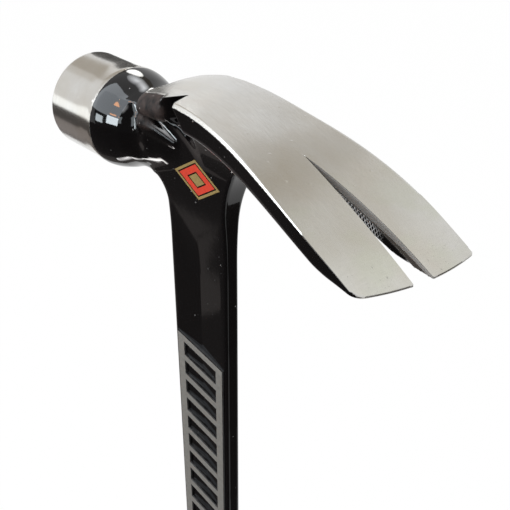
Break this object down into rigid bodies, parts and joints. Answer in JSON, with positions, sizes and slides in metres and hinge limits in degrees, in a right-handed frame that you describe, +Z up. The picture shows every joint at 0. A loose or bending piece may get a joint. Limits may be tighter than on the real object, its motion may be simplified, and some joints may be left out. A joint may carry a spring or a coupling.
{
  "type": "framing hammer",
  "caption": "One-piece forged steel framing hammer with a straight rip claw, round ground poll, side nail notch, fluted shank and two-shot moulded grip.",
  "frame": {"origin": "middle of the grip's flat butt face", "axes": "+Z up the handle to the head, +X from the handle to the claw tips, -Y out of the near cheek, which has the decal and the side notch"},
  "size_m": [0.149, 0.041, 0.406],
  "materials": {
    "forging": "gloss black paint, with the poll band and the top of the claw ground to bare steel",
    "core": "satin moulded nylon",
    "sleeve": "matt moulded elastomer",
    "decal": "gloss printed film in gold and red"
  },
  "bodies": {
    "root": {"hammer_forging": "forging", "grip_core": "core", "grip_sleeve": "sleeve", "cheek_decal": "decal"}
  },
  "joints": []
}
